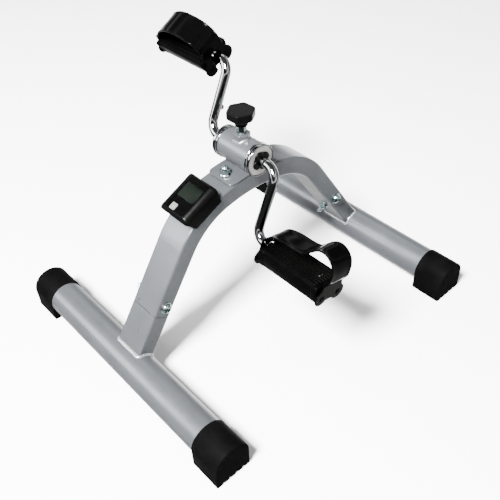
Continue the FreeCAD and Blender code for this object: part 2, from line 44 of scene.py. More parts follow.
MM = 0.001

# Shared dimensions, in millimetres, as the CAD model has them.
BASE_LENGTH, BASE_SPACING, BASE_RADIUS, BASE_Z = 400.0, 414.0, 23.5, 28.7
CAP_LENGTH, CAP_HALF = 44.4, 25.0
ARCH_WIDTH, ARCH_DEPTH, ARCH_TOP_R, ARCH_CENTRE_Z = 45.0, 24.5, 230.0, 0.5
SLOPE = math.radians(56.0)
LEG_BOLT_AT, LOCK_BOLT_AT, PLATE_BOLT_Y = 93.0, 72.5, 29.0
PLATE_THICKNESS, PLATE_HALF_LENGTH, PLATE_CORNER = 2.5, 40.0, 8.0
HUB_Z, HUB_R, HUB_WELD_Z, HUB_WELD_HALF = 252.3, 19.3, 234.25, 20.0
BOSS_FLATS, BOSS_CORNER_R, BOSS_TOP = 19.0, 10.7, 277.0
CRANK_R, LEAN, CRANK_PLANE, BAR_R = 88.0, math.radians(25.0), 61.0, 6.0
BEND_HUB, BEND_PEDAL, BAR_START, SPINDLE_END = 18.0, 16.0, 6.0, 168.0
STUD_R, STUD_AT, STUD_LIFT = 3.6, 32.0, 2.6
LOBE_AT = 7.0
PEDAL_IN, PEDAL_OUT, PEDAL_WALL, DECK_SHARE = 88.0, 180.0, 8.0, 0.978
PEG_Y, PEG_Z, PEG_HALF = 13.5, -9.0, 2.6
STRAP_HALF = 16.5
KEY_X, KEY_S, KEY_HALF = -4.8, -19.3, 4.3
FULL_TURN = 2 * math.pi
ARM = Vector((0, -math.sin(LEAN), -math.cos(LEAN)))
HUB = Vector((0, 0, HUB_Z))
LEG_DIR = Vector((0, math.cos(SLOPE), math.sin(SLOPE)))
LEG_OUT = Vector((0, -math.sin(SLOPE), math.cos(SLOPE)))
FOOT = Vector((0, -BASE_SPACING / 2, BASE_Z))


# ------------------------------------------------------------------ materials

def new_material(name):
    mat = bpy.data.materials.new(name)
    mat.use_nodes = True
    tree = mat.node_tree
    return mat, tree, tree.nodes["Principled BSDF"]


def noise_field(tree, scale, detail=3.0, rough=0.55, stretch=(1, 1, 1)):
    where = tree.nodes.new("ShaderNodeTexCoord")
    mapping = tree.nodes.new("ShaderNodeMapping")
    mapping.inputs["Scale"].default_value = stretch
    tree.links.new(where.outputs["Object"], mapping.inputs["Vector"])
    field = tree.nodes.new("ShaderNodeTexNoise")
    field.inputs["Scale"].default_value = scale
    field.inputs["Detail"].default_value = detail
    field.inputs["Roughness"].default_value = rough
    tree.links.new(mapping.outputs["Vector"], field.inputs["Vector"])
    return field


def ramp(tree, source, stops):
    node = tree.nodes.new("ShaderNodeValToRGB")
    elements = node.color_ramp.elements
    while len(elements) < len(stops):
        elements.new(0.5)
    for element, (at, colour) in zip(elements, stops):
        element.position = at
        element.color = (*colour, 1.0)
    tree.links.new(source, node.inputs["Fac"])
    return node


def spread(tree, source, low, high):
    node = tree.nodes.new("ShaderNodeMapRange")
    node.inputs["From Min"].default_value = 0.3
    node.inputs["From Max"].default_value = 0.7
    node.inputs["To Min"].default_value = low
    node.inputs["To Max"].default_value = high
    tree.links.new(source, node.inputs["Value"])
    return node.outputs["Result"]


def bump(tree, shader, source, height, before=None):
    node = tree.nodes.new("ShaderNodeBump")
    node.inputs["Strength"].default_value = 1.0
    node.inputs["Distance"].default_value = height * MM
    tree.links.new(source, node.inputs["Height"])
    if before is not None:
        tree.links.new(before.outputs["Normal"], node.inputs["Normal"])
    tree.links.new(node.outputs["Normal"], shader.inputs["Normal"])
    return node


def surface(name, stops, metallic, rough, grain, grain_height, patch=18.0, stretch=(1, 1, 1),
            wave_scale=0.0, wave_height=0.0, coat=0.0, specular=0.5):
    """Colour patches, roughness patches and a fine grain; optionally a slower waviness."""
    mat, tree, shader = new_material(name)
    patches = noise_field(tree, patch, 4.0, 0.6, stretch)
    colour = ramp(tree, patches.outputs["Fac"], stops)
    tree.links.new(colour.outputs["Color"], shader.inputs["Base Color"])
    shader.inputs["Metallic"].default_value = metallic
    shader.inputs["Specular IOR Level"].default_value = specular
    wear = noise_field(tree, patch * 3.1, 5.0, 0.65, stretch)
    tree.links.new(spread(tree, wear.outputs["Fac"], *rough), shader.inputs["Roughness"])
    fine = noise_field(tree, grain, 2.0, 0.5, stretch)
    first = bump(tree, shader, fine.outputs["Fac"], grain_height)
    if wave_height:
        slow = noise_field(tree, wave_scale, 2.0, 0.5, stretch)
        bump(tree, shader, slow.outputs["Fac"], wave_height, first)
    if coat:
        shader.inputs["Coat Weight"].default_value = coat
        shader.inputs["Coat Roughness"].default_value = 0.12
    return mat


SILVER = surface("silver_paint", [(0.3, (0.050, 0.0535, 0.058)), (0.7, (0.062, 0.0655, 0.071))],
                 0.62, (0.27, 0.35), 2600.0, 0.035, wave_scale=260.0, wave_height=0.05, specular=0.3)
# The weld beads carry the same silver paint as the frame. This colour is several times lighter than that
# paint: a painted highlight on the beads.
WELD_PAINTED_HIGHLIGHT = surface("weld_painted_highlight", [(0.3, (0.17, 0.175, 0.18)), (0.7, (0.27, 0.275, 0.28))],
               0.65, (0.18, 0.30), 900.0, 0.14, patch=60.0, coat=0.2)
CHROME = surface("chrome_plate", [(0.3, (0.20, 0.205, 0.212)), (0.7, (0.24, 0.242, 0.245))],
                 1.0, (0.03, 0.05), 1500.0, 0.0012, patch=30.0)
ZINC = surface("zinc_plate",
               [(0.25, (0.20, 0.38, 0.39)), (0.5, (0.38, 0.48, 0.48)), (0.75, (0.52, 0.50, 0.44))],
               1.0, (0.10, 0.20), 1400.0, 0.008, patch=90.0)
STEEL = surface("bare_steel", [(0.3, (0.30, 0.31, 0.33)), (0.7, (0.42, 0.42, 0.43))],
                1.0, (0.30, 0.45), 1400.0, 0.02, patch=60.0, stretch=(1, 6, 6))
DARK_STEEL = surface("dark_steel", [(0.3, (0.16, 0.10, 0.085)), (0.7, (0.24, 0.16, 0.14))],
                     0.4, (0.18, 0.32), 1400.0, 0.015, patch=90.0)
RUBBER = surface("cap_rubber", [(0.3, (0.0006, 0.0006, 0.00065)), (0.7, (0.0012, 0.0012, 0.0012))],
                 0.0, (0.50, 0.64), 1500.0, 0.06, patch=40.0, wave_scale=420.0, wave_height=0.05,
                 specular=0.006)
PEDAL = surface("pedal_plastic", [(0.3, (0.0003, 0.0003, 0.00032)), (0.7, (0.0006, 0.0006, 0.0006))],
                0.0, (0.24, 0.36), 1800.0, 0.015, patch=50.0, wave_scale=300.0, wave_height=0.03,
                specular=0.008)
STRAP = surface("strap_plastic", [(0.3, (0.0003, 0.0003, 0.00032)), (0.7, (0.0006, 0.0006, 0.0006))],
                0.0, (0.08, 0.14), 1500.0, 0.008, patch=40.0, wave_scale=140.0, wave_height=0.05,
                specular=0.02)
KNOB = surface("knob_plastic", [(0.3, (0.0005, 0.0005, 0.00055)), (0.7, (0.0010, 0.0010, 0.0011))],
               0.0, (0.34, 0.46), 1900.0, 0.05, patch=60.0, specular=0.04)
DISC = surface("bearing_plastic", [(0.3, (0.10, 0.098, 0.092)), (0.7, (0.13, 0.127, 0.12))],
               0.0, (0.30, 0.42), 1300.0, 0.02, patch=80.0)
BUSH = surface("bush_plastic", [(0.3, (0.0003, 0.0003, 0.00032)), (0.7, (0.0007, 0.0007, 0.0007))],
               0.0, (0.32, 0.46), 1700.0, 0.03, patch=90.0, specular=0.06)
CASE = surface("display_plastic", [(0.3, (0.0004, 0.0004, 0.00042)), (0.7, (0.0008, 0.0008, 0.0008))],
               0.0, (0.26, 0.36), 2300.0, 0.035, patch=60.0, specular=0.03)
BEZEL = surface("display_bezel", [(0.3, (0.0003, 0.0003, 0.00032)), (0.7, (0.0006, 0.0006, 0.0006))],
                0.0, (0.14, 0.20), 1200.0, 0.006, patch=60.0, specular=0.02)
LCD = surface("lcd_grey", [(0.3, (0.0085, 0.0125, 0.0100)), (0.7, (0.0125, 0.0170, 0.0135))],
              0.0, (0.40, 0.50), 2500.0, 0.004, patch=45.0, specular=0.1)
CREAM = surface("button_cream", [(0.3, (0.060, 0.060, 0.050)), (0.7, (0.078, 0.078, 0.066))],
                0.0, (0.34, 0.48), 1500.0, 0.03, patch=120.0)
BOARD = surface("board_green", [(0.3, (0.02, 0.14, 0.05)), (0.7, (0.04, 0.24, 0.09))],
                0.0, (0.25, 0.40), 900.0, 0.03, patch=90.0)
FELT = surface("shoe_felt", [(0.3, (0.20, 0.15, 0.10)), (0.7, (0.34, 0.26, 0.17))],
               0.0, (0.80, 0.95), 2200.0, 0.12, patch=120.0)


def window_material():
    mat, tree, shader = new_material("display_window")
    tint = noise_field(tree, 60.0, 2.0)
    colour = ramp(tree, tint.outputs["Fac"], [(0.3, (0.80, 0.86, 0.82)), (0.7, (0.88, 0.92, 0.89))])
    tree.links.new(colour.outputs["Color"], shader.inputs["Base Color"])
    shader.inputs["Transmission Weight"].default_value = 1.0
    shader.inputs["IOR"].default_value = 1.12
    shader.inputs["Roughness"].default_value = 0.03
    ripple = noise_field(tree, 80.0, 1.0)
    bump(tree, shader, ripple.outputs["Fac"], 0.01)
    return mat


WINDOW = window_material()
SLOT_MATERIAL = {
    "silver_paint": SILVER, "zinc": ZINC, "plain_steel": STEEL, "chrome": CHROME, "stud_steel": DARK_STEEL,
    "cap_rubber": RUBBER, "pedal_plastic": PEDAL, "strap_plastic": STRAP, "knob_plastic": KNOB,
    "bearing_plastic": DISC, "bush_plastic": BUSH, "shoe_felt": FELT, "display_plastic": CASE,
    "display_window": WINDOW, "lcd_grey": LCD, "button_cream": CREAM, "board_green": BOARD,
    "cell_steel": ZINC,
}
for part in frame["record"]["subparts"]:
    mesh = nodes[part["node"]].data
    mesh.materials.clear()
    mesh.materials.append(SLOT_MATERIAL[part["material_slot"]])


# ------------------------------------------------------------------ mesh helpers

def make(name, verts, faces, material, angle=None):
    """A smooth mesh object from points in millimetres; edges bent past the angle stay sharp."""
    mesh = bpy.data.meshes.new(name)
    mesh.from_pydata([Vector(v) * MM for v in verts], [], faces)
    mesh.validate()
    mesh.materials.append(material)
    for polygon in mesh.polygons:
        polygon.use_smooth = True
    if angle is not None:
        mesh.set_sharp_from_angle(angle=math.radians(angle))
    obj = bpy.data.objects.new(name, mesh)
    bpy.context.scene.collection.objects.link(obj)
    return obj


def attach(obj, body, slot, *replaced):
    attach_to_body(obj, body)
    if replaced:
        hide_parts(*replaced)


def loft(sections, closed=False, ends=True):
    """Vertices and faces through rings of equal length."""
    n = len(sections[0])
    verts = [p for ring in sections for p in ring]
    faces = []
    count = len(sections)
    for i in range(count if closed else count - 1):
        a, b = i * n, ((i + 1) % count) * n
        for j in range(n):
            k = (j + 1) % n
            faces.append((a + j, a + k, b + k, b + j))
    if ends and not closed:
        faces.append(tuple(range(n))[::-1])
        faces.append(tuple(range((count - 1) * n, count * n)))
    return verts, faces


def turned(frame_matrix, profile, segments=64, outline=None):
    """Rings (radius, height, kind) about a local Z axis; outline() reshapes the rings that have a kind."""
    sections = []
    for radius, height, *shape in profile:
        ring = []
        for j in range(segments):
            a = FULL_TURN * j / segments
            r, z = radius, height
            if shape:
                r, z = outline(a, radius, height, shape[0])
            ring.append(frame_matrix @ Vector((r * math.cos(a), r * math.sin(a), z)))
        sections.append(ring)
    return loft(sections)


def axis_frame(origin, axis, turn=0.0):
    q = Vector((0, 0, 1)).rotation_difference(Vector(axis))
    return Matrix.Translation(Vector(origin)) @ q.to_matrix().to_4x4() @ Matrix.Rotation(turn, 4, "Z")


def join(parts):
    """One vertex and face list from several."""
    verts, faces = [], []
    for v, f in parts:
        base = len(verts)
        verts += v
        faces += [tuple(i + base for i in face) for face in f]
    return verts, faces


def sweep(points, radius, segments):
    """Round bar along points; radius may be a number or a list."""
    start_normal = Vector((0, 0, 1))
    sections = []
    tangent = (points[1] - points[0]).normalized()
    normal = (start_normal - tangent * start_normal.dot(tangent)).normalized()
    for i, p in enumerate(points):
        ahead = points[min(i + 1, len(points) - 1)]
        behind = points[max(i - 1, 0)]
        new = (ahead - behind).normalized()
        normal = (tangent.rotation_difference(new) @ normal).normalized()
        tangent = new
        side = tangent.cross(normal)
        r = radius[i] if isinstance(radius, list) else radius
        ring = []
        for j in range(segments):
            a = FULL_TURN * j / segments
            ring.append(p + (normal * math.cos(a) + side * math.sin(a)) * r)
        sections.append(ring)
    return loft(sections)


def slab(name, outlines, depth, bevel, matrix, material):
    """Plate of the given depth with rounded edges: outlines lie in local XY, the first is the outside."""
    curve = bpy.data.curves.new(name, "CURVE")
    curve.dimensions = "2D"
    curve.fill_mode = "BOTH"
    curve.extrude = (depth / 2 - bevel) * MM
    curve.bevel_depth = bevel * MM
    curve.bevel_resolution = 3
    curve.offset = -bevel * MM
    for outline in outlines:
        spline = curve.splines.new("POLY")
        spline.points.add(len(outline) - 1)
        for point, (x, y) in zip(spline.points, outline):
            point.co = (x * MM, y * MM, 0, 1)
        spline.use_cyclic_u = True
    temp = bpy.data.objects.new(name + "_outline", curve)
    bpy.context.scene.collection.objects.link(temp)
    bpy.context.view_layer.update()
    mesh = bpy.data.meshes.new_from_object(temp.evaluated_get(bpy.context.evaluated_depsgraph_get()))
    bpy.data.objects.remove(temp)
    scaled = matrix.copy()
    scaled.translation = matrix.translation * MM
    mesh.transform(scaled)
    mesh.materials.clear()
    mesh.materials.append(material)
    for polygon in mesh.polygons:
        polygon.use_smooth = True
        polygon.material_index = 0
    mesh.set_sharp_from_angle(angle=math.radians(34.0))
    obj = bpy.data.objects.new(name, mesh)
    bpy.context.scene.collection.objects.link(obj)
    return obj


def circle(cx, cy, r, n=48, a0=0.0, a1=FULL_TURN):
    whole = abs(a1 - a0 - FULL_TURN) < 1e-9
    steps = n if whole else n + 1
    return [(cx + r * math.cos(a0 + (a1 - a0) * k / n), cy + r * math.sin(a0 + (a1 - a0) * k / n))
            for k in range(steps)]


def hex_outline(flats):
    """Reshapes rings to a hexagon: kind "hex" follows the flats, "top" also drops the corners."""
    inner = flats / 2

    def shape(a, radius, height, kind):
        t = (a + math.pi / 6) % (math.pi / 3) - math.pi / 6
        r = inner / math.cos(t)
        if kind == "hex":
            return r, height
        return r, height - max(0.0, (r - inner * 1.015)) * math.tan(math.radians(30))
    return shape


def hex_nut(origin, axis, flats, height, flange=0.0, flange_height=1.5, dome=0.0, bore=0.0, turn=0.0):
    """Nut or bolt head with chamfered corners, on a flange, with an optional dome."""
    f = axis_frame(origin, axis, turn)
    inner = flats / 2
    z = flange_height if flange else 0.0
    profile = []
    if flange:
        profile += [(flange, 0.0), (flange, flange_height * 0.55), (flange - 0.35, flange_height * 0.8),
                    (inner * 1.17, flange_height + 0.1)]
    else:
        profile += [(inner, 0.0, "hex")]
    profile += [(inner, z, "hex"), (inner, z + height, "top"), (inner * 0.93, z + height + 0.05)]
    if dome:
        base = inner * 0.86
        profile.append((base + 0.1, z + height + 0.08))
        for k in range(1, 9):
            a = math.pi / 2 * k / 8
            profile.append((max(base * math.cos(a), 0.02), z + height + dome * math.sin(a)))
    elif bore:
        profile += [(bore + 0.5, z + height), (bore, z + height - 0.5), (bore, z + height * 0.4)]
    else:
        profile += [(0.02, z + height)]
    return turned(f, profile, 72, hex_outline(flats))


def thread(origin, axis, radius, length, pitch):
    """Bolt end with a turned-down tip and real thread ridges."""
    f = axis_frame(origin, axis)
    segments = 28
    rings_per_turn = 6
    rings = int(length / pitch * rings_per_turn)
    sections = []
    for i in range(rings + 1):
        z = length * i / rings
        ring = []
        for j in range(segments):
            a = FULL_TURN * j / segments
            wave = (z / pitch - j / segments) % 1.0
            r = radius - pitch * 0.5 * abs(2 * wave - 1)
            if z > length - 0.8:
                r = min(r, radius - pitch * 0.55 - (z - length + 0.8) * 0.5)
            ring.append(f @ Vector((r * math.cos(a), r * math.sin(a), z)))
        sections.append(ring)
    return loft(sections)


def bead(points, radius, pitch, seed, closed=False):
    """Weld bead: a rounded run with overlapping ripples and slightly uneven width."""
    segments = 14
    sections = []
    length = 0.0
    count = len(points)
    for i, (p, out) in enumerate(points):
        ahead = points[(i + 1) % count if closed else min(i + 1, count - 1)][0]
        behind = points[i - 1 if closed else max(i - 1, 0)][0]
        tangent = (ahead - behind).normalized()
        side = tangent.cross(out).normalized()
        up = side.cross(tangent).normalized()
        if i:
            length += (p - points[i - 1][0]).length
        wobble = noise.noise(Vector((length * 0.16 + seed, seed, 0.3)))
        r = radius * (1.0 + 0.22 * wobble)
        if not closed:
            end = min(i, count - 1 - i) / 5.0
            r *= min(1.0, 0.35 + 0.65 * math.sqrt(min(end, 1.0)))
        ring = []
        for j in range(segments):
            a = FULL_TURN * j / segments
            lag = 0.9 * math.cos(a) ** 2
            phase = (length / pitch + lag) % 1.0
            crest = 1.0 + 0.16 * (1 - phase) ** 1.5 - 0.06
            ring.append(p + (up * math.sin(a) * 0.85 + side * math.cos(a) * 1.15) * r * crest)
        sections.append(ring)
    return loft(sections, closed=closed, ends=not closed)


# ------------------------------------------------------------------ crank bars

def crank_path(direction, side):
    """Centreline: out of the hub, along the arm, out again as the pedal spindle."""
    x_axis = Vector((side, 0, 0))
    points = [HUB + x_axis * (BAR_START + 2 * k) for k in range(18)]
    for k in range(17):
        a = math.pi / 2 * k / 16
        centre = HUB + x_axis * (CRANK_PLANE - BEND_HUB) + direction * BEND_HUB
        points.append(centre + x_axis * BEND_HUB * math.sin(a) - direction * BEND_HUB * math.cos(a))
    start, stop = BEND_HUB, CRANK_R - BEND_PEDAL
    for k in range(1, 14):
        points.append(HUB + x_axis * CRANK_PLANE + direction * (start + (stop - start) * k / 14))
    centre = HUB + x_axis * (CRANK_PLANE + BEND_PEDAL) + direction * stop
    for k in range(17):
        a = math.pi / 2 * k / 16
        points.append(centre - x_axis * BEND_PEDAL * math.cos(a) + direction * BEND_PEDAL * math.sin(a))
    start = CRANK_PLANE + BEND_PEDAL
    for k in range(1, 12):
        points.append(HUB + x_axis * (start + (SPINDLE_END - start) * k / 11) + direction * CRANK_R)
    return points


for name, direction, side in (("right", ARM, 1), ("left", -ARM, -1)):
    verts, faces = sweep(crank_path(direction, side), BAR_R, 48)
    attach(make("crank_arm_" + name, verts, faces, CHROME, angle=40), "crank", "chrome", "crank_bar_" + name)

toe = Vector((0, math.cos(LEAN), -math.sin(LEAN)))
seat = HUB - ARM * STUD_AT - Vector((CRANK_PLANE, 0, 0)) + toe * (BAR_R - 0.6)
profile = [(2.1, -0.5), (2.1, 0.3), (2.9, 0.5)]
for k in range(13):
    a = -0.5 + (math.pi / 2 + 0.5) * k / 12
    profile.append((max(STUD_R * math.cos(a), 0.02), STUD_LIFT + STUD_R * math.sin(a)))
verts, faces = turned(axis_frame(seat, toe), profile, 40)
attach(make("arm_stud_head", verts, faces, DARK_STEEL, angle=50), "crank", "stud_steel", "arm_stud")


# ------------------------------------------------------------------ hub

def side_frame(side):
    return axis_frame(HUB, (side, 0, 0))


def lobes(a, radius, height, lobe):
    """Four round lobes on a round collar; lobe is their radius at this height."""
    turn = (a - LEAN + math.pi / 4) % (math.pi / 2) - math.pi / 4
    reach = lobe ** 2 - (LOBE_AT * math.sin(turn)) ** 2
    if reach > 0:
        radius = max(radius, LOBE_AT * math.cos(turn) + math.sqrt(reach))
    return radius, height


for name, side in (("right", 1), ("left", -1)):
    ring = [(HUB_R + 0.05, 25.0), (20.3, 25.0), (20.6, 25.3), (20.6, 26.7), (20.25, 27.1), (20.25, 27.7),
            (20.6, 28.1), (20.6, 31.7), (20.5, 32.25), (20.25, 32.58), (19.9, 32.7), (19.6, 32.58),
            (19.4, 32.2), (19.35, 30.7)]
    verts, faces = turned(side_frame(side), ring, 128)
    attach(make("hub_rim_" + name, verts, faces, CHROME, angle=50), "frame", "chrome", "hub_ring_" + name)
    face = [(19.1, 28.5), (19.1, 31.4), (18.9, 31.9), (18.4, 32.1), (11.5, 32.1), (11.1, 32.0), (10.7, 31.6),
            (10.2, 30.9), (8.9, 30.9), (8.75, 30.7), (8.75, 28.5)]
    verts, faces = turned(side_frame(side), face, 128)
    attach(make("bearing_face_" + name, verts, faces, DISC, angle=35), "frame", "bearing_plastic",
           "bearing_disc_" + name)
    collar = [(8.5, 28.7), (8.5, 32.2), (8.3, 32.4, 5.9), (8.4, 32.5, 6.15), (8.4, 33.5, 6.15),
              (8.25, 33.9, 5.95), (7.9, 34.15, 5.5), (7.4, 34.25, 4.6), (6.8, 34.3), (6.3, 34.25),
              (6.05, 33.9), (6.02, 31.5)]
    verts, faces = turned(side_frame(side), collar, 144, lobes)
    attach(make("crank_collar_" + name, verts, faces, BUSH, angle=45), "crank", "bush_plastic",
           "crank_bush_" + name)


def hub_barrel():
    """Painted tube with turned ends, open inside."""
    ring = [(16.4, -27.3), (18.9, -27.5), (HUB_R, -27.1), (HUB_R, 27.1), (18.9, 27.5), (16.4, 27.3)]
    n = 128
    last = (len(ring) - 1) * n
    verts, faces = turned(side_frame(1), ring, n)
    bore = [(j, (j + 1) % n, last + (j + 1) % n, last + j) for j in range(n)]
    return verts, faces[:-2] + bore


verts, faces = hub_barrel()
attach(make("hub_barrel", verts, faces, SILVER, angle=40), "frame", "silver_paint", "hub_tube")


def hub_plate():
    """Plate bent to the arch's crown, with rounded corners and softened edges."""
    half_length, half_width, corner, soft = PLATE_HALF_LENGTH, ARCH_WIDTH / 2, PLATE_CORNER, 0.55
    straight = half_length - corner
    ys = [-half_length + 0.05]
    for k in range(1, 13):
        ys.append(-half_length + corner * (1 - math.cos(math.pi / 2 * k / 12)))
    ys += [-straight + 2 * straight * k / 40 for k in range(1, 40)]
    ys += [-y for y in reversed(ys[:13])]
    sections = []
    for i, y in enumerate(ys):
        over = max(0.0, abs(y) - straight)
        w = half_width - corner + math.sqrt(max(corner ** 2 - over ** 2, 0.0))
        end = 0.5 if i in (0, len(ys) - 1) else 0.0
        bottom, top = 0.02 + end, PLATE_THICKNESS - end
        w -= end
        ring = []
        for px, pz in ((-w, bottom + soft), (-w + soft, bottom), (w - soft, bottom), (w, bottom + soft),
                       (w, top - soft), (w - soft * 0.3, top - soft * 0.3), (w - soft, top),
                       (-w + soft, top), (-w + soft * 0.3, top - soft * 0.3), (-w, top - soft)):
            a = y / ARCH_TOP_R
            r = ARCH_TOP_R + pz
            ring.append(Vector((px, r * math.sin(a), ARCH_CENTRE_Z + r * math.cos(a))))
        sections.append(ring)
    return loft(sections)


verts, faces = hub_plate()
attach(make("hub_saddle", verts, faces, SILVER, angle=30), "frame", "silver_paint", "hub_plate")

for name, side in (("front", -1), ("rear", 1)):
    run = []
    for k in range(61):
        x = HUB_WELD_HALF * (k / 30 - 1)
        y = side * (6.4 + 0.35 * noise.noise(Vector((x * 0.15, side, 2.0))))
        run.append((Vector((x, y, HUB_WELD_Z)), Vector((0, side * 0.5, 0.87))))
    verts, faces = bead(run, 2.35, 2.3, 3.0 * side)
    attach(make("hub_bead_" + name, verts, faces, WELD_PAINTED_HIGHLIGHT), "frame", "silver_paint", "hub_weld_" + name)


def boss():
    """Nut welded on the hub, painted over, with a soft fillet at its foot."""
    sections = []
    segments = 96
    shape = hex_outline(BOSS_FLATS)
    levels = [(0.0, 2.6), (0.12, 1.7), (0.26, 0.9), (0.42, 0.35), (0.6, 0.05), (0.72, 0.0)]
    for t, out in levels:
        ring = []
        for j in range(segments):
            a = FULL_TURN * j / segments
            r = min(shape(a + math.pi / 6, 0, 0, "hex")[0], BOSS_CORNER_R) + out
            x, y = r * math.cos(a), r * math.sin(a)
            on_hub = HUB_Z + math.sqrt(max(HUB_R ** 2 - y ** 2, 1.0)) - 0.25
            ring.append(Vector((x, y, min(on_hub + t * 3.2, BOSS_TOP - 1.0))))
        sections.append(ring)
    for drop, inset in ((0.9, 0.0), (0.35, 0.12), (0.0, 0.55), (0.0, 3.6), (1.6, 4.2)):
        ring = []
        for j in range(segments):
            a = FULL_TURN * j / segments
            r = min(shape(a + math.pi / 6, 0, 0, "hex")[0], BOSS_CORNER_R) - inset
            if inset > 3:
                r = 9.5 - inset
            ring.append(Vector((r * math.cos(a), r * math.sin(a), BOSS_TOP - drop)))
        sections.append(ring)
    return loft(sections)


verts, faces = boss()
attach(make("hub_boss", verts, faces, SILVER, angle=32), "frame", "silver_paint", "tension_boss")


# ------------------------------------------------------------------ fasteners

for name, sign in (("front", -1), ("rear", 1)):
    y = sign * PLATE_BOLT_Y
    top = math.sqrt((ARCH_TOP_R + PLATE_THICKNESS) ** 2 - y * y) + ARCH_CENTRE_Z
    under = math.sqrt((ARCH_TOP_R - ARCH_DEPTH) ** 2 - y * y) + ARCH_CENTRE_Z
    nut = hex_nut((0, y, top + 0.2), (0, 0, 1), 11.0, 5.4, flange=7.2, flange_height=1.7, dome=4.7, turn=0.35)
    attach(make("dome_nut_" + name, *nut, ZINC, angle=28), "frame", "zinc", "plate_nut_" + name)
    head = hex_nut((0, y, under - 0.3), (0, 0, -1), 10.0, 4.2)
    attach(make("saddle_bolt_" + name, *head, ZINC, angle=28), "frame", "zinc", "plate_bolt_" + name)


def button_head(origin, axis):
    """Washer, domed head and a hexagonal key socket."""
    f = axis_frame(origin, axis)
    profile = [(8.0, 0.0), (8.0, 1.1), (7.7, 1.55), (6.7, 1.6), (6.6, 2.0)]
    for k in range(1, 9):
        a = math.radians(12 + 58 * k / 8)
        profile.append((6.9 * math.cos(a) * 0.98, 1.6 + 5.6 * math.sin(a) * 0.93))
    inner = hex_outline(4.6)

    def shape(a, radius, height, kind):
        r = inner(a, 0, 0, "hex")[0]
        return (r, height) if kind == "hex" else (r + 0.2, height)
    top = profile[-1][1]
    profile += [(3.0, top + 0.08, "rim"), (2.5, top - 0.2, "hex"), (2.5, top - 3.0, "hex"), (0.02, top - 3.4)]
    return turned(f, profile, 72, shape)


for name, sign in (("front", -1), ("rear", 1)):
    p = FOOT + LEG_DIR * LEG_BOLT_AT
    p = Vector((0, -sign * p.y, p.z))
    side = ARCH_WIDTH / 2
    head = button_head((side, p.y, p.z), (1, 0, 0))
    attach(make("button_bolt_" + name, *head, ZINC, angle=26), "frame", "zinc", name + "_leg_bolt")
    nut = join([
        hex_nut((-side, p.y, p.z), (-1, 0, 0), 12.6, 5.4, flange=8.0, flange_height=1.6, bore=4.0, turn=0.2),
        thread((-side - 1, p.y, p.z), (-1, 0, 0), 3.95, 10.0, 1.25)])
    attach(make("flange_nut_" + name, *nut, ZINC, angle=26), "frame", "zinc", name + "_leg_nut")


def rear_leg_point(along, out):
    p = FOOT + LEG_DIR * along + LEG_OUT * out
    return Vector((0, -p.y, p.z))


inner_face = rear_leg_point(LOCK_BOLT_AT, -ARCH_DEPTH / 2)
outer_face = rear_leg_point(LOCK_BOLT_AT, ARCH_DEPTH / 2)
inward = (inner_face - outer_face).normalized()
bolt = join([hex_nut(outer_face, -inward, 10.0, 4.2),
             thread(inner_face, inward, 2.95, 13.8, 1.0)])
attach(make("lock_bolt", *bolt, ZINC, angle=26), "frame", "zinc", "rear_lock_bolt")
nut = hex_nut(inner_face, inward, 10.0, 5.0, flange=7.0, flange_height=1.5, bore=3.0, turn=0.3)
attach(make("lock_nut", *nut, ZINC, angle=26), "frame", "zinc", "rear_lock_nut")


# ------------------------------------------------------------------ weld beads at the legs' feet

def leg_bead(rear):
    """Closed run where the rectangular leg meets the round floor tube."""
    half_w, half_d = ARCH_WIDTH / 2, ARCH_DEPTH / 2
    corner = 3.0
    outline = []
    for cx, cy, a0 in ((half_w - corner, half_d - corner, 0), (corner - half_w, half_d - corner, 90),
                       (corner - half_w, corner - half_d, 180), (half_w - corner, corner - half_d, 270)):
        for k in range(7):
            a = math.radians(a0 + 15 * k)
            outline.append((cx + corner * math.cos(a), cy + corner * math.sin(a)))
    dense = []
    for i, (x0, o0) in enumerate(outline):
        x1, o1 = outline[(i + 1) % len(outline)]
        steps = max(1, int(math.hypot(x1 - x0, o1 - o0) / 0.7))
        dense += [(x0 + (x1 - x0) * k / steps, o0 + (o1 - o0) * k / steps) for k in range(steps)]
    run = []
    for x, o in dense:
        along = math.sqrt(BASE_RADIUS ** 2 - o ** 2)
        p = FOOT + LEG_DIR * along + LEG_OUT * o
        radial = (p - FOOT).normalized()
        out = Vector((x / half_w * 0.5, 0, 0)) + LEG_OUT * (o / half_d * 0.5) + radial * 0.6
        p = p + Vector((x, 0, 0))
        if rear:
            p = Vector((p.x, -p.y, p.z))
            out = Vector((out.x, -out.y, out.z))
        run.append((p, out))
    return bead(run, 2.3, 2.7, 7.0 if rear else 1.0, closed=True)


for name, rear in (("front", False), ("rear", True)):
    verts, faces = leg_bead(rear)
    attach(make(name + "_foot_bead", verts, faces, WELD_PAINTED_HIGHLIGHT), "frame", "silver_paint", name + "_leg_weld")


# ------------------------------------------------------------------ end caps

def cap_outline():
    """Round over the tube, straight sides, soft lower corners and four grooves in the sole."""
    points = circle(0, 0, CAP_HALF, 40, 0.0, math.pi)
    floor = -BASE_Z
    points += [(-CAP_HALF, floor + 1.6), (-CAP_HALF + 0.5, floor + 0.5), (-CAP_HALF + 1.6, floor)]
    pitch = 2 * CAP_HALF / 5
    for k in range(4):
        g = -CAP_HALF + pitch * (k + 1)
        points += [(g - 2.0, floor), (g - 1.7, floor + 0.4), (g - 1.5, floor + 2.7), (g - 1.1, floor + 3.0),
                   (g + 1.1, floor + 3.0), (g + 1.5, floor + 2.7), (g + 1.7, floor + 0.4), (g + 2.0, floor)]
    points += [(CAP_HALF - 1.6, floor), (CAP_HALF - 0.5, floor + 0.5), (CAP_HALF, floor + 1.6)]
    return points


